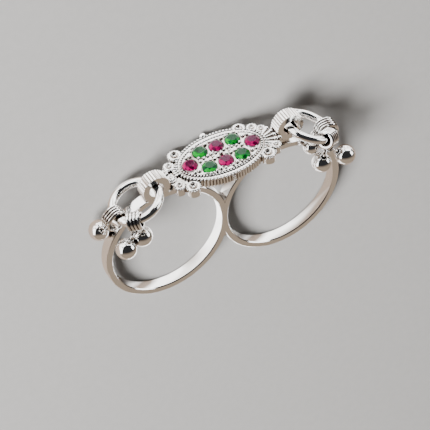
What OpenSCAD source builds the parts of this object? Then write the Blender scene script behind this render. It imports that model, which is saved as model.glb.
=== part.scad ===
// Two-finger ring: two round bands side by side under an oval plate of eight
// cut stones, with a bail, a round link and three ball drops at each end.
// It is drawn standing on its bands, with x along the plate, y along the
// fingers and z up, and laid down on the back edges of the bands at the end.

/* [Bands] */
// Inside diameter of each finger hole
finger_d = 17; // [16.6:0.1:17.4]
// Thickness of the band metal
band_t = 0.95; // [0.9:0.05:1.1]
// Width of a band along the finger
band_w = 1.75; // [1.6:0.05:2]
// Depth to which the two bands run into each other
band_join = 0.5; // [0.4:0.05:0.7]
// Bevel of the inner edges
bevel = 0.12; // [0.08:0.02:0.2]

/* [Plate] */
// Half length of the oval plate
plate_a = 6.4; // [6.3:0.05:6.6]
// Half width of the oval plate
plate_b = 4.03; // [3.95:0.05:4.2]
// Height of the fluted wall
plate_h = 1.5; // [1.4:0.05:1.6]
// Flutes around the wall
flutes = 76; // [60:2:90]
// Height of the stones' widest line above the centre of the bands
top_z = 11.7; // [11.6:0.05:11.9]
// Lean of the soldered top, right end up, in degrees
top_lean = 4.3; // [3:0.1:5]
// Turn of the plate in its own plane, in degrees
plate_turn = -4; // [-5:0.5:0]

/* [Stones] */
// Diameter of a stone
stone_d = 2.15; // [2:0.01:2.16]
// Stone spacing along a row
row_dx = 2.44; // [2.4:0.01:2.5]
// Distance of a row from the middle line
row_dy = 1.57; // [1.55:0.01:1.62]
// Distance of the end stones from the middle
tip_dx = 4.64; // [4.6:0.01:4.75]

/* [Bails and links] */
// Outside diameter of a bail
bail_d = 4.18; // [4.1:0.02:4.3]
// Hole through a bail
bail_hole = 2.22; // [2.16:0.02:2.3]
// Width of a bail
bail_w = 1.74; // [1.6:0.02:1.8]
// Mean radius of a link
link_r = 3.33; // [3.3:0.01:3.36]
// Wire of a link
link_wire = 1.2; // [1:0.02:1.24]

/* [Drops] */
// Diameter of a ball
ball_d = 2.9; // [2.6:0.02:2.9]
// Diameter of the small ball of the right end clip
small_d = 2.24; // [2:0.02:2.3]
// Length of a clip along the link
clip_len = 1.9; // [1.6:0.1:2]
// Mean radius of an eyelet
eye_r = 0.4; // [0.38:0.01:0.42]
// Wire of an eyelet
eye_wire = 0.3; // [0.26:0.02:0.32]

/* [Hidden] */
$fn = 96;

silver = "#d8dadd";
pink = "#c81e63";
green = "#0c9344";

r_in = finger_d / 2;
r_out = r_in + band_t;
band_c = r_out - band_join;
stone_r = stone_d / 2;
rim_z = -0.3;
foot_z = rim_z - plate_h;
bail_x = 10.36;
bail_z = -0.4;

// Rest on the back edges of both bands and on the lowest bead behind the plate
edge = 0.1;
bead_x = -0.7;
bead_y = 4.36;
bead_r = 0.43;
bead_low = -1.5;
bead_lift = (bead_x * cos(plate_turn) - bead_y * sin(plate_turn)) * sin(top_lean)
    + bead_low * cos(top_lean);
lay_dy = bead_x * sin(plate_turn) + bead_y * cos(plate_turn) - band_w / 2;
lay_dz = top_z + bead_lift + r_out - edge;
lay = atan2(lay_dy, lay_dz) + asin(bead_r / sqrt(lay_dy * lay_dy + lay_dz * lay_dz));
lay_x = -0.55;
lay_y = 2.33;
lay_z = band_w / 2 * cos(lay) + (r_out - edge) * sin(lay);

function unit(v) = v / norm(v);

// Standing frame to the frame in which the ring lies down
module laid() {
    translate([lay_x, lay_y, lay_z])
        rotate([lay - 90, 0, 180])
            children();
}

// Frame of the soldered top, with the stones' widest line at z 0
module on_top() {
    translate([0, 0, top_z])
        rotate([0, -top_lean, 0])
            children();
}

module on_plate() {
    on_top()
        rotate([0, 0, plate_turn])
            children();
}

// Turns the z axis of its children to a direction
module facing(v) {
    rotate([0, acos(v[2] / norm(v)), atan2(v[1], v[0])])
        children();
}

module ring_wire(mean, wire) {
    rotate_extrude()
        translate([mean, 0])
            circle(d = wire, $fn = 48);
}

module oval(a, b, z0, z1) {
    translate([0, 0, z0])
        linear_extrude(z1 - z0)
            polygon([for (i = [0:143]) [a * cos(i * 2.5), b * sin(i * 2.5)]]);
}

// Even steps along an ellipse, with the lobes pushed in at their ends
function lobe(k) = (k == 0) ? 0.13 : (k == 2) ? 0 : 0.04;
function even(s, a, b) = s + 14.3 * (a * a - b * b) / (a * a + b * b) * sin(2 * s);
function ripple(a, b, n, depth) = [for (i = [0:n - 1], k = [0:3])
    let (t = even((i + k / 4) * 360 / n, a, b), in = lobe(k) * depth)
    [(a - in) * cos(t), (b - in) * sin(t)]];

// Stones

module stone(x, y) {
    r = stone_r;
    on_plate()
        translate([x, y, 0])
            hull() {
                translate([0, 0, 0.33])
                    cylinder(r = 0.6 * r, h = 0.01, $fn = 8);
                translate([0, 0, 0.2])
                    rotate([0, 0, 22.5])
                        cylinder(r = 0.84 * r, h = 0.01, $fn = 8);
                translate([0, 0, -0.03])
                    cylinder(r = r, h = 0.06, $fn = 16);
                translate([0, 0, -0.45])
                    rotate([0, 0, 22.5])
                        cylinder(r = 0.53 * r, h = 0.01, $fn = 8);
                translate([0, 0, -0.86])
                    cylinder(r = 0.04, h = 0.01, $fn = 8);
            }
}

// Bands

module band_disc(x) {
    translate([x, 0, 0])
        rotate([90, 0, 0])
            rotate_extrude($fn = 180)
                polygon([[0, -band_w / 2],
                    [r_out - edge, -band_w / 2],
                    [r_out, -band_w / 2 + edge],
                    [r_out, band_w / 2 - edge],
                    [r_out - edge, band_w / 2],
                    [0, band_w / 2]]);
}

module finger_bore(x) {
    translate([x, 0, 0])
        rotate([90, 0, 0])
            rotate_extrude($fn = 180)
                polygon([[0, -4], [r_in + 0.02, -4],
                    [r_in + 0.02, -band_w / 2 - 0.2],
                    [r_in + bevel + 0.2, -band_w / 2 - 0.2],
                    [r_in + bevel, -band_w / 2],
                    [r_in, -band_w / 2 + bevel],
                    [r_in, band_w / 2 - bevel],
                    [r_in + bevel, band_w / 2],
                    [r_in + bevel + 0.2, band_w / 2 + 0.2],
                    [r_in + 0.02, band_w / 2 + 0.2],
                    [r_in + 0.02, 4], [0, 4]]);
}

// Solder in the notch above and below the place where the bands meet
module notch_fill(side) {
    rho = 0.22;
    zc = sqrt((r_out + rho) * (r_out + rho) - band_c * band_c);
    reach = r_out / (r_out + rho);
    translate([0, (band_w - 0.1) / 2, 0])
        rotate([90, 0, 0])
            linear_extrude(band_w - 0.1)
                difference() {
                    polygon([[-0.2, side * 2.6], [0.2, side * 2.6],
                        [band_c * (1 - reach) + 0.1, side * zc * reach],
                        [-band_c * (1 - reach) - 0.1, side * zc * reach]]);
                    translate([0, side * zc])
                        circle(r = rho);
                }
}

// Necks between the plate, the bails and the bands, seen from the front
module neck(pts, w) {
    translate([0, w / 2, 0])
        rotate([90, 0, 0])
            linear_extrude(w)
                polygon(pts);
}

module bail(side) {
    translate([side * bail_x, bail_w / 2, bail_z])
        rotate([90, 0, 0])
            linear_extrude(bail_w)
                polygon(ripple(bail_d / 2, bail_d / 2, 30, 1.3));
}

module bail_bore(side) {
    translate([side * bail_x, 3, bail_z])
        rotate([90, 0, 0])
            cylinder(d = bail_hole, h = 6);
}

// Plate

module plate_shell() {
    difference() {
        union() {
            translate([0, 0, foot_z])
                linear_extrude(plate_h - 0.06)
                    polygon(ripple(plate_a, plate_b, flutes, 1.3));
            oval(plate_a - 0.2, plate_b - 0.2, foot_z + 0.3, rim_z);
            oval(5.7, 3.1, foot_z + 0.4, -0.16);
        }
        difference() {
            oval(6.06, 3.5, -0.46, 0.5);
            oval(5.78, 3.16, -0.6, 0.6);
        }
        oval(plate_a - 0.7, plate_b - 0.7, foot_z - 1, -1.36);
        for (p = seats()) {
            translate([p[0], p[1], -1.08])
                cylinder(r = stone_r + 0.04, h = 2, $fn = 64);
            translate([p[0], p[1], foot_z - 1])
                cylinder(r = 0.5, h = 2, $fn = 48);
        }
    }
}

function seats() = [[-tip_dx, 0], [tip_dx, 0],
    for (i = [-1:1], s = [-1, 1]) [i * row_dx, s * row_dy]];

// Bead prongs between the stones
module prongs() {
    for (s = [-1, 1], t = [-1, 1]) {
        translate([s * 3.95, t * 1.52, -0.1])
            sphere(r = 0.3, $fn = 32);
        translate([s * 1.22, t * 2.55, -0.1])
            sphere(r = 0.3, $fn = 32);
        translate([s * 1.22, t * 0.52, -0.1])
            sphere(r = 0.27, $fn = 32);
        translate([s * 3.5, t * 2.4, -0.14])
            sphere(r = 0.2, $fn = 32);
    }
    for (s = [-1, 1]) {
        translate([s * 3.1, 0, -0.1])
            sphere(r = 0.27, $fn = 32);
        translate([s * 1.22, 0, -0.12])
            sphere(r = 0.2, $fn = 32);
    }
    sphere(r = 0.27, $fn = 32);
}

// Stack of small beads down the middle of each long side
module side_beads() {
    for (k = [0:2])
        translate([bead_x, bead_y, bead_low + 0.55 * k])
            sphere(r = bead_r, $fn = 40);
    for (k = [0:2])
        translate([0, -plate_b, -1.6 + 0.4 * k])
            sphere(r = 0.21, $fn = 32);
}

// Round boss with a ribbed cap, a dished top and a bead in the dish
module roundel(x, y, r) {
    translate([x, y, 0])
        difference() {
            union() {
                translate([0, 0, foot_z + 0.08])
                    cylinder(r = r * 0.9, h = plate_h - 0.3);
                translate([0, 0, -0.62])
                    linear_extrude(0.24)
                        polygon(ripple(r, r, 18, 0.8));
                translate([0, 0, -0.4])
                    ring_wire(r * 0.76, r * 0.4);
            }
            translate([0, 0, -0.1])
                sphere(r = r * 0.6, $fn = 48);
        }
    translate([x, y, -0.1 - r * 0.52])
        sphere(r = r * 0.28, $fn = 32);
}

// Rib of the fan at each tip, which widens from the rim outwards
module fan_rib(angle, from, to) {
    rotate([0, 0, angle])
        translate([from, 0, -0.52])
            rotate([0, 90, 0]) {
                cylinder(r1 = 0.18, r2 = to * 0.115, h = to - from, $fn = 32);
                translate([0, 0, to - from])
                    sphere(r = to * 0.115 + 0.04, $fn = 32);
            }
}

module end_slab(side) {
    translate([0, 0, foot_z + 0.14])
        linear_extrude(plate_h - 0.5)
            polygon([[side * 4.6, -3.2], [side * 6.1, -3.2], [side * 7.7, -2.1],
                [side * 8.5, -0.7],
                [side * 8.5, 0.7], [side * 7.2, 2], [side * 5.2, 2.7],
                [side * 5.9, 1.2], [side * 5.9, -1.2], [side * 4.9, -2.4]]);
}

module left_end() {
    end_slab(-1);
    roundel(-5.6, 2.95, 0.97);
    roundel(-5.75, -3.45, 0.97);
    roundel(-7.15, 1.45, 0.75);
    roundel(-7.3, -2.45, 0.75);
    roundel(-7.8, -0.55, 0.5);
    roundel(-8.05, 0.8, 0.4);
    translate([-7.75, -0.55, -0.58])
        ring_wire(0.66, 0.24);
    for (k = [0:4])
        translate([-5.2, 0, 0])
            fan_rib(180 - 42 + 14 * k, 1.25, 1.75);
}

module right_end() {
    end_slab(1);
    roundel(4.15, 3.2, 0.92);
    roundel(5.77, 2.5, 0.75);
    roundel(6.8, 1.7, 0.66);
    roundel(5.65, -2.9, 0.99);
    roundel(7.3, -1.95, 0.66);
    roundel(6.25, -1.75, 0.45);
    for (k = [0:4])
        translate([5.2, 0, 0])
            fan_rib(-36 + 17 * k, 1.25, 2.7);
    translate([8.2, 1.1, -0.5])
        sphere(r = 0.3, $fn = 32);
    translate([8.35, -0.9, -0.5])
        sphere(r = 0.3, $fn = 32);
}

module ring_body() {
    color(silver)
        laid()
            difference() {
                union() {
                    band_disc(-band_c);
                    band_disc(band_c);
                    notch_fill(1);
                    notch_fill(-1);
                    neck([[-7.4, 10.1], [-8.5, 10.3], [-9.4, 10.2], [-10, 9],
                        [-8.6, 9], [-7.9, 9.2]], band_w - 0.6);
                    neck([[7.6, 11.1], [8.8, 11.3], [10, 10.8], [10.6, 9],
                        [8.7, 9], [8.1, 9.8]], band_w - 0.6);
                    on_top() {
                        bail(-1);
                        bail(1);
                    }
                    on_plate() {
                        plate_shell();
                        prongs();
                        side_beads();
                        left_end();
                        right_end();
                    }
                }
                finger_bore(-band_c);
                finger_bore(band_c);
                on_top() {
                    bail_bore(-1);
                    bail_bore(1);
                }
            }
}

// Links

left_hub = [-13.46, -0.72, 9.86];
left_axis = unit([-0.31, 0.06, 0.95]);
right_hub = [13.37, -0.3, 10.45];
right_axis = unit([0.41, 0.02, 0.91]);

// Point and direction of the wire of a link, by its angle from outermost
function radial(axis, side) = unit([side, 0, 0] - (side * axis[0]) * axis);
function spot(hub, axis, side, a) = hub + link_r * (cos(a) * radial(axis, side)
    + sin(a) * cross(axis, radial(axis, side)));
function way(axis, side, a) = cos(a) * cross(axis, radial(axis, side))
    - sin(a) * radial(axis, side);

module link(hub, axis) {
    color(silver)
        laid()
            translate(hub)
                facing(axis)
                    ring_wire(link_r, link_wire);
}

// Clips, each a ribbed oval tube around the link with eyelets under it

clip_in = 0.84;
clip_out = 1.32;
clip_drop = 0.02;

function across(v, t) = unit(v - (v * t) * t);
function clip_foot(stretch) = clip_drop + stretch + clip_out;
function eye_at(at, t, down, stretch, slide) = at + slide * t
    + (clip_foot(stretch) + 0.24) * across(down, t);
function eye_axis(eye, centre, dn) = unit(cross(centre - eye, dn));

module clip_profile() {
    h = clip_len / 2;
    w = clip_len / 4;
    polygon([[clip_in + 0.06, -h], [clip_out - 0.24, -h],
        for (i = [0:3]) each [
            [clip_out - 0.08, -h + w * (i + 0.14)],
            [clip_out, -h + w * (i + 0.36)],
            [clip_out, -h + w * (i + 0.64)],
            [clip_out - 0.08, -h + w * (i + 0.86)],
            [clip_out - 0.24, -h + w * (i + 1)]],
        [clip_in + 0.06, h], [clip_in, h - 0.06], [clip_in, -h + 0.06]]);
}

module clip_tube(stretch) {
    translate([0, -clip_drop, 0])
        rotate_extrude(angle = 180)
            clip_profile();
    translate([0, -clip_drop - stretch, 0])
        rotate([0, 0, 180])
            rotate_extrude(angle = 180)
                clip_profile();
    translate([0, -clip_drop, 0])
        rotate([90, 0, 0])
            linear_extrude(stretch) {
                clip_profile();
                mirror([1, 0, 0])
                    clip_profile();
            }
}

module clip(at, t, down, stretch, drops) {
    dn = across(down, t);
    polar = acos(t[2]);
    round = atan2(t[1], t[0]);
    ax = [cos(polar) * cos(round), cos(polar) * sin(round), -sin(polar)];
    ay = [-sin(round), cos(round), 0];
    spin = atan2(dn * ay, dn * ax) + 90;
    color(silver)
        laid() {
            translate(at)
                rotate([0, polar, round])
                    rotate([0, 0, spin])
                        clip_tube(stretch);
            for (d = drops) {
                eye = eye_at(at, t, down, stretch, d[0]);
                translate(eye)
                    facing(eye_axis(eye, d[1], dn))
                        ring_wire(eye_r, eye_wire);
            }
        }
}

// Ball with a loop that hooks through the eyelet at a point
module ball(centre, eye, t, down, d = ball_d) {
    v = unit(centre - eye);
    side = eye_axis(eye, centre, across(down, t));
    hook = eye + 0.42 * v;
    color(silver)
        laid() {
            translate(centre)
                sphere(d = d, $fn = 96);
            translate(hook)
                facing(cross(v, side))
                    ring_wire(eye_r, eye_wire);
            translate(centre)
                facing(eye - centre)
                    cylinder(r = 0.2, h = norm(eye - centre) - 0.42 - eye_r + 0.05);
        }
}

// Places of the clips on the links, as angles from the outermost point
le_at = spot(left_hub, left_axis, -1, 3);
le_t = way(left_axis, -1, 3);
le_down = [-0.8, 0, -0.6];
lf_at = spot(left_hub, left_axis, -1, 58);
lf_t = way(left_axis, -1, 58);
lf_down = [-0.2, 0.05, -1];
re_at = spot(right_hub, right_axis, 1, -8);
re_t = way(right_axis, 1, -8);
re_down = [-1, 0, -0.16];
rf_at = spot(right_hub, right_axis, 1, -60);
rf_t = way(right_axis, 1, -60);
rf_down = [0.1, -0.2, -1];

// Reach of the two eyelets of a front clip from its middle
slide = 0.62;

le_stretch = 0.6;
lf_stretch = 0.05;
re_stretch = 0.5;
rf_stretch = 0.05;

// Ball centres in the standing frame
b_left_end = [-18.4, 0.8, 5.6];
b_left_outer = [-16.8, -3.95, 5.4];
b_left_inner = [-13.9, -2.95, 5.45];
b_right_end = [12.9, -2.1, 8.3];
b_right_outer = [17.3, -4, 6.25];
b_right_inner = [14.15, -3, 5.5];

ring_body();
color(pink) laid() stone(-tip_dx, 0);  // stone_tip_left
color(green) laid() stone(-row_dx, row_dy);  // stone_back_left
color(pink) laid() stone(0, row_dy);  // stone_back_middle
color(green) laid() stone(row_dx, row_dy);  // stone_back_right
color(green) laid() stone(-row_dx, -row_dy);  // stone_front_left
color(pink) laid() stone(0, -row_dy);  // stone_front_middle
color(green) laid() stone(row_dx, -row_dy);  // stone_front_right
color(pink) laid() stone(tip_dx, 0);  // stone_tip_right
link(left_hub, left_axis);  // link_left
link(right_hub, right_axis);  // link_right
clip(le_at, le_t, le_down, le_stretch, [[0, b_left_end]]);  // clip_left_end
clip(lf_at, lf_t, lf_down, lf_stretch, [[-slide, b_left_outer], [slide, b_left_inner]]);  // clip_left_front
clip(re_at, re_t, re_down, re_stretch, [[0, b_right_end]]);  // clip_right_end
clip(rf_at, rf_t, rf_down, rf_stretch, [[slide, b_right_outer], [-slide, b_right_inner]]);  // clip_right_front
ball(b_left_end, eye_at(le_at, le_t, le_down, le_stretch, 0), le_t, le_down);  // ball_left_end
ball(b_left_outer, eye_at(lf_at, lf_t, lf_down, lf_stretch, -slide), lf_t, lf_down);  // ball_left_outer
ball(b_left_inner, eye_at(lf_at, lf_t, lf_down, lf_stretch, slide), lf_t, lf_down);  // ball_left_inner
ball(b_right_end, eye_at(re_at, re_t, re_down, re_stretch, 0), re_t, re_down, small_d);  // ball_right_end
ball(b_right_outer, eye_at(rf_at, rf_t, rf_down, rf_stretch, slide), rf_t, rf_down);  // ball_right_outer
ball(b_right_inner, eye_at(rf_at, rf_t, rf_down, rf_stretch, -slide), rf_t, rf_down);  // ball_right_inner
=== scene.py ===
# %% [markdown]
# # Two-finger ring with ball drops
#
# A silver ring for two fingers lies on its side. Two round bands carry an oval
# plate with four pink and four green stones. A ribbed bail at each end of the
# plate holds a round link, and on the links hang ribbed clips with polished
# balls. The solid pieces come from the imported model. This script gives them
# their metal and stone, and adds the fine granulation that a jeweller solders
# on: rows of tiny beads, collars and grains.

# %% Setup
import math
import random

import bpy
from mathutils import Matrix, Vector


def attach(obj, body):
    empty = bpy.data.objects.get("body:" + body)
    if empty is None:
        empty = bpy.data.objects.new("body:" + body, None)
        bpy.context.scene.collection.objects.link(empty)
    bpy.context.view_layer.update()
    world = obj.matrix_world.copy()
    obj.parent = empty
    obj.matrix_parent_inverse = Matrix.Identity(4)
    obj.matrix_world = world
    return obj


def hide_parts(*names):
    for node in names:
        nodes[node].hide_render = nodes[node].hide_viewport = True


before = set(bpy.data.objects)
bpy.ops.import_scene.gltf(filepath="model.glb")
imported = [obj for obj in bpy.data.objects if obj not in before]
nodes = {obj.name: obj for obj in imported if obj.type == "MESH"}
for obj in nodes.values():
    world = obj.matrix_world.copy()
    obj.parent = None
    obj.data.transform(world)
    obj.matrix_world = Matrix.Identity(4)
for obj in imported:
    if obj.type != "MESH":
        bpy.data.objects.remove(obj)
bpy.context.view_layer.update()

# %% [markdown]
# The ring was designed standing on its bands, in millimetres, and laid down at
# the end. A bead could be placed by its coordinates in the scene, but nobody can
# read those. So these matrices repeat how the ring was laid down, and each bead
# below is placed by where it sits on the plate.

# %% Frames of the design
MM = 0.001
LAY = 11.4708
LAY_MOVE = Vector((-0.55, 2.33, 2.71694))
TOP_Z = 11.7
LEAN = 4.3
TURN = -4.0


def turned(angle, axis):
    """A turn by an angle in degrees."""
    return Matrix.Rotation(math.radians(angle), 4, axis)


STAND = (Matrix.Scale(MM, 4) @ Matrix.Translation(LAY_MOVE)
         @ turned(180, "Z") @ turned(LAY - 90, "X"))
PLATE = STAND @ Matrix.Translation((0, 0, TOP_Z)) @ turned(-LEAN, "Y") @ turned(TURN, "Z")
print("middle of the plate", [round(c, 4) for c in PLATE.translation])

# %% [markdown]
# The camera looks at the ring as the photograph does. A short lens close by
# would make the near finger hole larger than the far one. The photograph shows
# both alike, so the camera stands 300 mm off and has a long lens.

# %% Camera
BACK = Vector((-0.3347, -0.6166, 0.7126))
RIGHT = Vector((0.8707, -0.4915, -0.0163))
UP = Vector((0.3603, 0.6151, 0.7013))
DISTANCE = 300
EYE = -1.01 * RIGHT - 0.17 * UP + DISTANCE * BACK


def direction(v):
    """A direction of the standing design, as it is in the scene."""
    return (STAND.to_3x3() @ v).normalized()


cam_data = bpy.data.cameras.new("camera")
cam_data.lens = 181.63
cam_data.sensor_width = 36
cam_data.clip_start = 0.01
cam_data.clip_end = 20
camera = bpy.data.objects.new("camera", cam_data)
bpy.context.collection.objects.link(camera)
axes = Matrix([direction(v) for v in (RIGHT, UP, BACK)]).transposed()
camera.matrix_world = Matrix.Translation(STAND @ EYE) @ axes.to_4x4()
bpy.context.scene.camera = camera
print("camera at", [round(c, 4) for c in camera.matrix_world.translation])

# %% [markdown]
# Every finish below is a tree of nodes. Written out link by link, a tree hides
# what it does. These helpers let each node name its inputs, and an input takes
# either a plain value or the output of another node. Two kinds come again and
# again: a mix of two colours, and a span that turns a range into 0 to 1. A Mix
# node has sockets of the same name for numbers and for colours, so those are
# told apart by where they stand in its list.

# %% Node helpers
FACTOR = 0
NUMBER_A, NUMBER_B, NUMBER_OUT = 2, 3, 0
COLOR_A, COLOR_B, COLOR_OUT = 6, 7, 2


def feed(tree, value, socket):
    """Links an output into a socket, or sets the socket to a plain value."""
    if isinstance(value, bpy.types.NodeSocket):
        tree.links.new(value, socket)
    else:
        socket.default_value = value


def node(tree, kind, label="", inputs=None, **settings):
    """Adds a node. Its inputs are given by the name or number of their sockets."""
    made = tree.nodes.new(kind)
    made.label = label
    for key, value in settings.items():
        setattr(made, key, value)
    for place, value in (inputs or {}).items():
        feed(tree, value, made.inputs[place])
    return made


def mix(tree, label, factor, low, high):
    """Runs from the colour low to the colour high by a factor."""
    places = {FACTOR: factor, COLOR_A: low, COLOR_B: high}
    return node(tree, "ShaderNodeMix", label, places, data_type="RGBA").outputs[COLOR_OUT]


def span(tree, label, value, low, high):
    """0 where the value is at low, 1 where it is at high, and even in between."""
    places = {"Value": value, "From Min": low, "From Max": high}
    return node(tree, "ShaderNodeMapRange", label, places).outputs["Result"]


print("helpers", [f.__name__ for f in (feed, node, mix, span)])

# %% [markdown]
# Polished silver is never quite even. It has a faint swirl of polishing marks, small dents, and
# a grey film of tarnish where the polishing mop can't reach. The film is painted darker than
# tarnish alone, so it also stands for the shade in the hollows.
# An even metal shader would look like a computer's. One group makes all three
# effects, and each metal places it with its own values. Ambient occlusion finds
# the hollows, because it measures how closed in a spot is.

# %% Shared group: hand-polished metal, with tarnish and painted shade in the hollows
polish = bpy.data.node_groups.new("hand_polish", "ShaderNodeTree")
for name, kind, value in (
        ("Clean", "NodeSocketColor", (0.93, 0.925, 0.915, 1)),
        ("Film", "NodeSocketColor", (0.065, 0.058, 0.052, 1)),
        ("Smooth", "NodeSocketFloat", 0.05),
        ("Worn", "NodeSocketFloat", 0.16),
        ("Swirl size", "NodeSocketFloat", 900.0),
        ("Dent height", "NodeSocketFloat", 0.00001)):
    entry = polish.interface.new_socket(name, in_out="INPUT", socket_type=kind)
    entry.default_value = value
for name, kind in (("Color", "NodeSocketColor"), ("Roughness", "NodeSocketFloat"),
                   ("Normal", "NodeSocketVector")):
    polish.interface.new_socket(name, in_out="OUTPUT", socket_type=kind)

given = node(polish, "NodeGroupInput").outputs
coords = node(polish, "ShaderNodeTexCoord").outputs["Object"]
swirl = node(polish, "ShaderNodeTexNoise", "swirl", {
    "Vector": coords, "Scale": given["Swirl size"], "Detail": 3.0, "Roughness": 0.6})
dents = node(polish, "ShaderNodeTexNoise", "dents", {
    "Vector": coords, "Scale": 650.0, "Detail": 1.0})
# Painted shade: where ambient occlusion finds a hollow, the colour runs from clean silver to
# the dark film colour, which stands for tarnish and for the shade there.
hollow = node(polish, "ShaderNodeAmbientOcclusion", "hollows", {"Distance": 0.0005}, samples=8)
tarnish_and_shade = span(polish, "tarnish_and_shade", hollow.outputs["AO"], 0.56, 0.96)
rough = node(polish, "ShaderNodeMix", "roughness", {
    FACTOR: swirl.outputs["Fac"], NUMBER_A: given["Smooth"], NUMBER_B: given["Worn"]},
    data_type="FLOAT")
bump = node(polish, "ShaderNodeBump", "dents", {
    "Height": dents.outputs["Fac"], "Distance": given["Dent height"], "Strength": 0.35})
node(polish, "NodeGroupOutput", inputs={
    "Color": mix(polish, "film or clean", tarnish_and_shade, given["Film"], given["Clean"]),
    "Roughness": rough.outputs[NUMBER_OUT],
    "Normal": bump.outputs["Normal"]})
print("group", polish.name, "with", len(polish.nodes), "nodes")

# %% [markdown]
# The ring is one white metal all over, but its pieces were worked differently.
# The plate and bands are cast and buffed, the links and clips are drawn wire,
# the balls are polished like mirrors, and the beads are too small to polish much.
# So there are four kinds of silver. They differ in roughness, in dents, and in how dark the
# tarnish and painted shade in the hollows are.


# %% Silver
def material(name):
    """A new material, its tree and its shader."""
    mat = bpy.data.materials.new(name)
    mat.use_nodes = True
    return mat, mat.node_tree, mat.node_tree.nodes["Principled BSDF"]


def silver(name, **values):
    """A silver that places the shared group with its own values."""
    mat, tree, shader = material(name)
    shader.inputs["Metallic"].default_value = 1.0
    group = tree.nodes.new("ShaderNodeGroup")
    group.node_tree = polish
    for key, value in values.items():
        group.inputs[key.replace("_", " ")].default_value = value
    for output, socket in (("Color", "Base Color"), ("Roughness", "Roughness"),
                           ("Normal", "Normal")):
        feed(tree, group.outputs[output], shader.inputs[socket])
    return mat


# The film colours stand for tarnish and painted shade in the hollows.
cast_silver = silver("cast_silver", Film=(0.35, 0.3, 0.26, 1), Smooth=0.05, Worn=0.16,
                     Dent_height=0.000008)
wire_silver = silver("wire_silver", Film=(0.25, 0.22, 0.19, 1), Smooth=0.04, Worn=0.12,
                     Dent_height=0.000015)
ball_silver = silver("ball_silver", Smooth=0.02, Worn=0.05, Dent_height=0.000004)
bead_silver = silver("bead_silver", Smooth=0.05, Worn=0.14, Dent_height=0.000004)
print("silver", [mat.name for mat in (cast_silver, wire_silver, ball_silver, bead_silver)])

# %% [markdown]
# A cut stone looks lively because each facet sends the light another way: one is bright, the
# next is deep. Clear glass with a tint could do that alone, but on a stone of 2 mm in a silver
# seat it turns milky. So the stones are only partly clear, and that light is painted: every
# facet gets a painted brightness of its own, drawn when it is cut further down, and the stone's
# colour runs from deep to bright by it. The flat table on top is painted dusky, a painted
# shade, and a thin coat lets it mirror a little more.


# %% Stones
def gem(name, deep, bright, painted_table_shade, shine):
    """A stone's material: the colours of its facets with painted light, its table in painted
    shade, and its gloss.
    """
    mat, tree, shader = material(name)
    for socket, value in (("Roughness", 0.02), ("IOR", 1.76), ("Transmission Weight", 0.4),
                          ("Specular IOR Level", 0.15), ("Specular Tint", shine),
                          ("Coat Roughness", 0.02), ("Coat IOR", 1.22)):
        shader.inputs[socket].default_value = value
    # Painted light: each facet's colour runs from deep to bright by a random number that stands
    # for the light the facet sends back, and the table is painted in a darker shade.
    tone = node(tree, "ShaderNodeAttribute", "painted light of the facet", attribute_name="facet_tone")
    table = node(tree, "ShaderNodeAttribute", "table", attribute_name="table").outputs["Fac"]
    facet = mix(tree, "deep to bright", tone.outputs["Fac"], deep, bright)
    feed(tree, mix(tree, "facet or table", table, facet, painted_table_shade), shader.inputs["Base Color"])
    feed(tree, table, shader.inputs["Coat Weight"])
    return mat


pink = gem("pink_gem", (0.03, 0.0, 0.008, 1), (0.23, 0.0, 0.06, 1), (0.055, 0.0, 0.022, 1),
           (0.3, 0.07, 0.19, 1))
green = gem("green_gem", (0.0, 0.016, 0.003, 1), (0.0, 0.175, 0.012, 1), (0.0, 0.032, 0.006, 1),
            (0.06, 0.28, 0.16, 1))
print("stones", pink.name, green.name)

# %% [markdown]
# The solid pieces get their finish by what they are. Their names say it, so a
# few words of each name are enough to choose.

# %% Finish of each solid piece
PINK = ("stone_tip_left", "stone_back_middle", "stone_front_middle", "stone_tip_right")


def stone_material(name):
    """The finish of a stone, by its name."""
    return pink if name in PINK else green


for name, obj in nodes.items():
    if name.startswith("stone"):
        mat = stone_material(name)
    elif name.startswith("ball"):
        mat = ball_silver
    elif name == "ring_body":
        mat = cast_silver
    else:
        mat = wire_silver
    for slot in obj.material_slots:
        slot.material = mat
print("materials on", len(nodes), "nodes")

# %% [markdown]
# Each stone is a round brilliant: a table, eight stars, eight kites and sixteen
# halves above the girdle, and eight mains with sixteen halves below it. A cone
# with flat sides would do for the outline, but not for the sparkle, so all the
# facets are cut. The kites and mains have four corners and still have to be
# flat, which fixes the height of the points between. The points come in circles.


# %% Points of a cut stone
RADIUS = 1.075
TABLE, STAR, LOW = 0.58, 0.79, 0.24
CROWN, GIRDLE, DEPTH = 0.34, 0.03, 0.85


def circle(radius, z, count, shift=0.0):
    """Points around the stone's axis. The radius is a share of the stone's own."""
    angles = [2 * math.pi * (k + shift) / count for k in range(count)]
    return [(radius * RADIUS * math.cos(t), radius * RADIUS * math.sin(t), z) for t in angles]


def brilliant_points():
    """All points of a stone in millimetres, from the table down to the tip."""
    half = math.cos(math.pi / 8)
    star_z = CROWN + (GIRDLE - CROWN) * (STAR * half - TABLE) / (1 - TABLE)
    low_z = -DEPTH + (DEPTH - GIRDLE) * LOW * half
    return (circle(TABLE, CROWN, 8) + circle(STAR, star_z, 8, 0.5) + circle(1, GIRDLE, 16)
            + circle(1, -GIRDLE, 16) + circle(LOW, low_z, 8, 0.5) + [(0, 0, -DEPTH)])


POINTS = brilliant_points()
print("points of a stone", len(POINTS))

# %% [markdown]
# The facets join the points of neighbouring circles. All of them repeat eight
# times around the stone, so a loop lays down one eighth at a time. The letters
# say where each circle of points starts.


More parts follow.
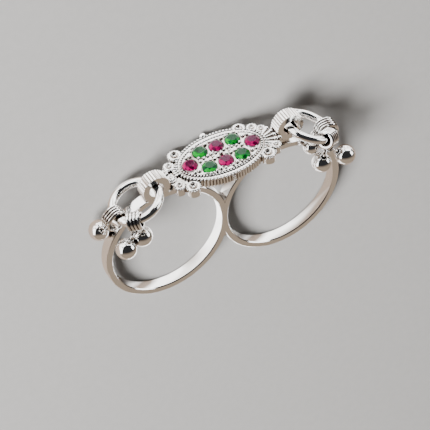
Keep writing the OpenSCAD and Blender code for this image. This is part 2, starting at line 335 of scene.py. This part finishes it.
# %% Facets of a cut stone
def brilliant_facets():
    """The facets of a stone. The table comes first."""
    t, s, g, h, p, tip = 0, 8, 16, 32, 48, 56
    facets = [tuple(t + k for k in range(8))]
    for k in range(8):
        after, before = (k + 1) % 8, (k - 1) % 8
        a, b, c = 2 * k, 2 * k + 1, (2 * k + 2) % 16
        facets += [(t + k, s + k, t + after), (t + k, s + before, g + a, s + k),
                   (s + k, g + a, g + b), (s + k, g + b, g + c),
                   (g + a, h + a, h + b, g + b), (g + b, h + b, h + c, g + c),
                   (p + k, h + b, h + a), (p + k, h + c, h + b),
                   (tip, p + k, h + a, p + before)]
    return facets


FACETS = brilliant_facets()
print("facets of a stone, with its girdle", len(FACETS))

# %% [markdown]
# One stone sits at each tip of the oval, and three in each of the two rows between. Each takes
# the place of the plain solid that the model has there. Each facet draws its painted
# brightness, mostly near deep or near bright, from the seed of its own stone, and the material
# reads it as an attribute of the mesh.

# %% Eight stones
TONE_SPREAD = 1.8
TONE_DROP = 0.35
TIP_X = 4.64
COLUMN_STEP = 2.44
ROW_Y = 1.57


def on_plate(x, y, z):
    """A point of the plate, in millimetres from its middle, as it is in the scene."""
    return PLATE @ Vector((x, y, z))


def facet_attribute(mesh, name, values):
    """Gives each facet a number that a material can read."""
    mesh.attributes.new(name, "FLOAT", "FACE").data.foreach_set("value", values)


def brilliant(name, x, y, seed):
    """Cuts the stone that sits at x, y on the plate, in place of its plain solid."""
    mat = stone_material(name)
    mesh = bpy.data.meshes.new(name + "_cut")
    mesh.from_pydata([tuple(on_plate(x + u, y + v, z)) for u, v, z in POINTS], [], FACETS)
    mesh.materials.append(mat)
    draw = random.Random(seed)
    # Painted light: each facet draws a random brightness of its own.
    painted_brightness = [min(1.0, max(0.0, TONE_SPREAD * draw.random() - TONE_DROP)) for _ in FACETS]
    facet_attribute(mesh, "facet_tone", painted_brightness)
    facet_attribute(mesh, "table", [1.0] + [0.0] * (len(FACETS) - 1))
    obj = bpy.data.objects.new(name + "_cut", mesh)
    bpy.context.collection.objects.link(obj)
    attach(obj, "root")
    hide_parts(name)
    return obj


STONES = {"stone_tip_left": (-TIP_X, 0), "stone_tip_right": (TIP_X, 0)}
for word, column in (("left", -1), ("middle", 0), ("right", 1)):
    STONES["stone_back_" + word] = (COLUMN_STEP * column, ROW_Y)
    STONES["stone_front_" + word] = (COLUMN_STEP * column, -ROW_Y)
for seed, (name, (x, y)) in enumerate(STONES.items()):
    obj = brilliant(name, x, y, seed)
    print(obj.name, len(obj.data.polygons), "facets")

# %% [markdown]
# Granulation is one of the oldest trims in jewellery: small balls of silver, laid
# out in rows and clusters and soldered down. Each bead could be added by hand in
# a loop. Geometry Nodes do it in one go and keep the sizes as inputs. A row is a
# closed path that is cut into equal steps, with a bead at each step. A cluster
# is a set of points. First come the inputs that both kinds share, each with a
# value that it has unless a row or cluster says otherwise.

# %% Inputs of a bead tree
BEAD_INPUTS = (("Bead radius", "NodeSocketFloat", 0.0002), ("Step", "NodeSocketFloat", 0.0005),
               ("Size spread", "NodeSocketFloat", 0.04), ("Seed", "NodeSocketInt", 7))


def empty_bead_tree(name):
    """A tree that has its inputs and its output, and nothing between them."""
    tree = bpy.data.node_groups.new(name, "GeometryNodeTree")
    face = tree.interface
    face.new_socket("Geometry", in_out="INPUT", socket_type="NodeSocketGeometry")
    for label, kind, value in BEAD_INPUTS:
        entry = face.new_socket(label, in_out="INPUT", socket_type=kind)
        entry.default_value = value
    face.new_socket("Material", in_out="INPUT", socket_type="NodeSocketMaterial")
    face.new_socket("Geometry", in_out="OUTPUT", socket_type="NodeSocketGeometry")
    return tree


print("inputs of a bead tree", [label for label, kind, value in BEAD_INPUTS])

# %% [markdown]
# Between the input and the output, a small sphere is put on each place, made
# real, smoothed and painted. The two kinds of tree differ only in where the
# places come from. The size of each bead is drawn a little above or below one,
# because melted grains are never quite alike. There are hundreds of beads, each
# a few pixels wide, so a bead has only sixty faces.

# %% Geometry Nodes: bead row and bead cluster
RANDOM_MIN, RANDOM_MAX, RANDOM_OUT = 2, 3, 1


def combine(tree, operation, first, second):
    """One number from two, by a sum or a comparison."""
    return node(tree, "ShaderNodeMath", inputs={0: first, 1: second},
                operation=operation).outputs[0]


def bead_tree(name, row):
    """Beads along a path if row is true, and on single points if not."""
    tree = empty_bead_tree(name)
    given = node(tree, "NodeGroupInput").outputs
    bead = node(tree, "GeometryNodeMeshUVSphere", "bead", {
        "Segments": 10, "Rings": 6, "Radius": given["Bead radius"]})
    if row:
        path = node(tree, "GeometryNodeMeshToCurve", "path", {"Mesh": given["Geometry"]})
        places = node(tree, "GeometryNodeResampleCurve", "equal steps", mode="LENGTH")
        feed(tree, path.outputs["Curve"], places.inputs["Curve"])
        feed(tree, given["Step"], places.inputs["Length"])
    else:
        places = node(tree, "GeometryNodeMeshToPoints", "points", {"Mesh": given["Geometry"]})
    smallest = combine(tree, "SUBTRACT", 1.0, given["Size spread"])
    largest = combine(tree, "ADD", 1.0, given["Size spread"])
    size = node(tree, "FunctionNodeRandomValue", "size", {
        RANDOM_MIN: smallest, RANDOM_MAX: largest, "Seed": given["Seed"]}, data_type="FLOAT")
    beads_on = node(tree, "GeometryNodeInstanceOnPoints", "beads", {
        "Points": places.outputs[0], "Instance": bead.outputs["Mesh"],
        "Scale": size.outputs[RANDOM_OUT]})
    real = node(tree, "GeometryNodeRealizeInstances", "real beads", {
        "Geometry": beads_on.outputs["Instances"]})
    smooth = node(tree, "GeometryNodeSetShadeSmooth", "smooth", {
        "Geometry": real.outputs["Geometry"]})
    paint = node(tree, "GeometryNodeSetMaterial", "silver", {
        "Geometry": smooth.outputs["Geometry"], "Material": given["Material"]})
    node(tree, "NodeGroupOutput", inputs={"Geometry": paint.outputs["Geometry"]})
    return tree


ROW = bead_tree("bead_row", True)
CLUSTER = bead_tree("bead_cluster", False)
print("trees", ROW.name, len(ROW.nodes), CLUSTER.name, len(CLUSTER.nodes))

# %% [markdown]
# The modifier's inputs are set by the identifiers of their sockets, before the
# object is looked at for the first time. The result is then taken out as a plain
# mesh and the modifier goes, because a finished piece has to stand on its own.


# %% From a bead tree to a plain piece
def beads(name, tree, verts, edges=(), **values):
    """Runs a bead tree over points in the scene's frame and keeps the plain mesh."""
    mesh = bpy.data.meshes.new(name + "_path")
    mesh.from_pydata([tuple(v) for v in verts], list(edges), [])
    obj = bpy.data.objects.new(name, mesh)
    bpy.context.collection.objects.link(obj)
    mod = obj.modifiers.new("beads", "NODES")
    mod.node_group = tree
    values["Material"] = bead_silver
    for item in tree.interface.items_tree:
        key = item.name.replace(" ", "_")
        if item.in_out == "INPUT" and key in values:
            mod[item.identifier] = values[key]
    depsgraph = bpy.context.evaluated_depsgraph_get()
    made = bpy.data.meshes.new_from_object(obj.evaluated_get(depsgraph))
    obj.modifiers.remove(mod)
    obj.data = made
    made.name = name
    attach(obj, "root")
    print(name, len(made.polygons), "faces")
    return obj


def around(count):
    """Equal angles for a full turn."""
    return [2 * math.pi * i / count for i in range(count)]


def oval(a, b, z, steps=240):
    """A closed path along an ellipse on the plate."""
    verts = [on_plate(a * math.cos(t), b * math.sin(t), z) for t in around(steps)]
    return verts, [(i, (i + 1) % steps) for i in range(steps)]


print("an oval has", len(oval(1, 1, 0)[0]), "points")

# %% [markdown]
# The rim of the plate has two rows of beads: a fine row in the groove around
# the stones, and a coarser one on the outer edge, above the flutes. A jeweller
# rolls such a row as one beaded wire, which is why its steps are so even.

# %% Rows of the rim
for name, path, bead, step in (("rim_milgrain", (5.92, 3.33, -0.22), 0.16, 0.42),
                               ("rim_outer_beads", (6.42, 4.05, -0.34), 0.2, 0.48)):
    verts, edges = oval(*path)
    beads(name, ROW, verts, edges, Bead_radius=bead * MM, Step=step * MM)

# %% [markdown]
# Each round boss at the ends of the plate has a beaded rim too. These circles
# are short, so a step of a fixed length would leave a gap where each one closes.
# The number of beads is worked out for each circle, and all go into one cluster.

# %% Boss rims
ROUNDELS = ((-5.6, 2.95, 0.97), (-5.75, -3.45, 0.97), (-7.15, 1.45, 0.75), (-7.3, -2.45, 0.75),
            (-7.8, -0.55, 0.5), (-8.05, 0.8, 0.4),
            (4.15, 3.2, 0.92), (5.77, 2.5, 0.75), (6.8, 1.7, 0.66),
            (5.65, -2.9, 0.99), (7.3, -1.95, 0.66), (6.25, -1.75, 0.45))
BOSS_STEP = 0.36
BOSS_SHARE = 0.95
BOSS_TOP = -0.45
verts = []
for x, y, size in ROUNDELS:
    reach = BOSS_SHARE * size
    for t in around(round(2 * math.pi * size / BOSS_STEP)):
        verts.append(on_plate(x + reach * math.cos(t), y + reach * math.sin(t), BOSS_TOP))
beads("boss_beads", CLUSTER, verts, Bead_radius=0.15 * MM)

# %% [markdown]
# Grains fill the field between the stones, where the plate would look bare. The
# places of one quarter are listed, and the loops mirror them to the other three.

# %% Grains of the field
QUARTER = ((0.62, 0.42), (1.8, 0.42), (2.45, 0.3), (3.05, 0.62), (4.55, 1.5),
           (0.55, 2.72), (1.85, 2.62), (2.75, 2.72))
FIELD_TOP = -0.08
verts = [on_plate(side * x, row * y, FIELD_TOP) for side in (-1, 1) for row in (-1, 1)
         for x, y in QUARTER]
beads("field_grains", CLUSTER, verts, Bead_radius=0.22 * MM, Size_spread=0.1)

# %% [markdown]
# A collar of grains hides the seam where each loop is fused to its ball. The
# loops lean in six different ways. Their directions could be listed, but the
# ball's own mesh knows them: the points that stand clear of the ball belong to
# the loop, and the way to them is the way that the collar faces. For each ball
# the list has its middle in the standing design, and its radius.

# %% Collars of the balls
BALLS = {"ball_left_end": ((-18.4, 0.8, 5.6), 1.45),
         "ball_left_outer": ((-16.8, -3.95, 5.4), 1.45),
         "ball_left_inner": ((-13.9, -2.95, 5.45), 1.45),
         "ball_right_end": ((12.9, -2.1, 8.3), 1.12),
         "ball_right_outer": ((17.3, -4, 6.25), 1.45),
         "ball_right_inner": ((14.15, -3, 5.5), 1.45)}
CLEAR_OF_BALL = 1.15
COLLAR_RADIUS = 0.37
COLLAR_GRAINS = 8
verts = []
for name, (centre, size) in BALLS.items():
    middle = STAND @ Vector(centre)
    out = Vector((0, 0, 0))
    for v in nodes[name].data.vertices:
        if (v.co - middle).length > CLEAR_OF_BALL * size * MM:
            out += v.co - middle
    out.normalize()
    side = out.orthogonal().normalized()
    over = out.cross(side)
    height = math.sqrt(size ** 2 - COLLAR_RADIUS ** 2)
    for t in around(COLLAR_GRAINS):
        arm = math.cos(t) * side + math.sin(t) * over
        verts.append(middle + height * MM * out + COLLAR_RADIUS * MM * arm)
beads("ball_collars", CLUSTER, verts, Bead_radius=0.14 * MM)

# %% [markdown]
# The floor is one pale matt sheet, far larger than the ring, so that its edge
# never shows. A little grain keeps it from looking empty.

# %% Floor
HALF_SIDE = 1.2
corners = [(x * HALF_SIDE, y * HALF_SIDE, 0) for x, y in ((-1, -1), (1, -1), (1, 1), (-1, 1))]
floor_mesh = bpy.data.meshes.new("floor")
floor_mesh.from_pydata(corners, [], [(0, 1, 2, 3)])
floor = bpy.data.objects.new("floor", floor_mesh)
bpy.context.collection.objects.link(floor)

paper, tree, paper_shader = material("pale_paper")
paper_shader.inputs["Roughness"].default_value = 0.75
coords = node(tree, "ShaderNodeTexCoord").outputs["Object"]
grain = node(tree, "ShaderNodeTexNoise", "grain", {
    "Vector": coords, "Scale": 900.0, "Detail": 2.0})
plain_paper = mix(tree, "paper", grain.outputs["Fac"],
                  (0.165, 0.162, 0.157, 1), (0.185, 0.181, 0.176, 1))
floor_mesh.materials.append(paper)
print("floor", 2 * HALF_SIDE, "m wide")

# %% [markdown]
# The silver of the photograph shows white faces with dark streaks, because it mirrors bright
# things with dark ones between them. Here the ring lies close to the floor and mirrors that. A
# white floor would glare in the picture, so the floor is painted whiter only for rays that come
# from the ring, a painted reflection like a photographer's reflector card. Soft darker patches
# on the card are painted dark reflections that draw the streaks. Two spots of painted shade,
# one in each hoop, darken the insides of the bands, and a painted shadow under the drops at
# both ends, like a contact shadow, draws the edges of the balls.

# %% Painted card in the reflections, with painted shade and shadow
# Painted reflections: soft dark patches on the card, which the silver mirrors as streaks.
patches = node(tree, "ShaderNodeTexNoise", "uneven card", {
    "Vector": coords, "Scale": 120.0, "Detail": 1.0})
painted_streaks = span(tree, "dark patches", patches.outputs["Fac"], 0.5, 0.62)

HOOPS_MIDDLE = (0.0016, 0.0, 0.0)
SPOT = (0.0089, 0.00925, 0.0)
from_middle = node(tree, "ShaderNodeVectorMath", "from between the hoops", {
    0: coords, 1: HOOPS_MIDDLE}, operation="SUBTRACT")
folded = node(tree, "ShaderNodeVectorMath", "both hoops alike", {
    0: from_middle.outputs["Vector"]}, operation="ABSOLUTE")
to_spot = node(tree, "ShaderNodeVectorMath", "distance to the spot", {
    0: folded.outputs["Vector"], 1: SPOT}, operation="DISTANCE")
# Painted shade: a dark spot in each hoop darkens the insides of the bands.
painted_shade_spots = span(tree, "spots in the hoops", to_spot.outputs["Value"], 0.0017, 0.0006)

place = node(tree, "ShaderNodeSeparateXYZ", "place", {"Vector": coords}).outputs
aside = node(tree, "ShaderNodeMath", "aside", {0: place["X"]}, operation="ABSOLUTE").outputs[0]
# Painted shadow: a dark field under the drops at both ends, like a contact shadow.
painted_shadow_under_drops = combine(tree, "MULTIPLY",
                      span(tree, "painted shadow under the drops", aside, 0.0115, 0.0145),
                      span(tree, "not in front", place["Y"], -0.012, -0.009))
dark = combine(tree, "MAXIMUM", painted_shadow_under_drops, combine(tree, "MAXIMUM", painted_shade_spots, painted_streaks))
# The card is painted whiter than the paper for reflections, and carries all the painted shade
# and shadow above.
card = mix(tree, "card", dark, (0.93, 0.92, 0.91, 1), (0.16, 0.125, 0.1, 1))
rays = node(tree, "ShaderNodeLightPath").outputs
feed(tree, mix(tree, "paper for the camera alone", rays["Is Camera Ray"], card, plain_paper),
     paper_shader.inputs["Base Color"])
print("floor material has", len(tree.nodes), "nodes")

# %% [markdown]
# Silver shows its surroundings, so the sky is part of its finish. The side where
# the camera stands is nearly black, and gives each ball and bead its dark
# centre. The back is a warm mid tone, which the fronts of the bands mirror. A
# plain bright sky would wash all of that out. The camera itself sees an even
# pale backdrop, so that low views look clean.

# %% Sky
world = bpy.data.worlds.new("studio")
bpy.context.scene.world = world
world.use_nodes = True
sky = world.node_tree
ray_way = node(sky, "ShaderNodeTexCoord").outputs["Generated"]
way = node(sky, "ShaderNodeSeparateXYZ", "way of the ray", {"Vector": ray_way}).outputs
shade = mix(sky, "dark front, warm back", span(sky, "front to back", way["Y"], 0.1, 0.55),
            (0.03, 0.03, 0.032, 1), (0.42, 0.33, 0.25, 1))
rays = node(sky, "ShaderNodeLightPath").outputs
feed(sky, mix(sky, "pale backdrop for the camera", rays["Is Camera Ray"], shade,
              (0.62, 0.6, 0.57, 1)),
     sky.nodes["Background"].inputs["Color"])
print("sky", len(sky.nodes), "nodes")

# %% [markdown]
# One large key light from the left shapes the ring and casts its shadow. A
# mirror of it would glare on every bead, so reflections don't show it. They show
# four soft cards instead. Three are low and wide and stand in a row on the
# camera's side, with dark gaps between them, and the fourth stands higher, at
# the far right. On the balls they make the white patches around the dark centre.
# The cards light nothing but reflections.

# %% Light
CAMERA_SIDE = 29.5
FAR = 0.6


def panel(name, turn, height, wide, tall, strength):
    """A soft panel, placed by its angle from the camera's side and its height."""
    azimuth = math.radians(CAMERA_SIDE + turn)
    rise = math.radians(height)
    out = Vector((math.sin(azimuth) * math.cos(rise), -math.cos(azimuth) * math.cos(rise),
                  math.sin(rise)))
    data = bpy.data.lights.new(name, "AREA")
    data.shape = "RECTANGLE"
    data.size = wide
    data.size_y = tall
    data.energy = strength * math.pi * wide * tall
    lamp = bpy.data.objects.new(name, data)
    bpy.context.collection.objects.link(lamp)
    lamp.location = out * FAR
    lamp.rotation_euler = out.to_track_quat("Z", "Y").to_euler()
    lamp.visible_camera = False
    return lamp


key = panel("key", 52, 40, 0.26, 0.26, 125.0)
key.visible_glossy = False
for card_panel in (panel("left_card", 50, 11, 0.68, 0.22, 4.6),
                   panel("middle_card", -5, 9, 0.34, 0.17, 4.6),
                   panel("right_card", -62, 12, 0.6, 0.24, 4.6),
                   panel("high_card", -105, 32, 0.34, 0.3, 4.0)):
    card_panel.visible_diffuse = False

# %% [markdown]
# At the end the scene is brought up to date.

# %% Finish
bpy.context.view_layer.update()
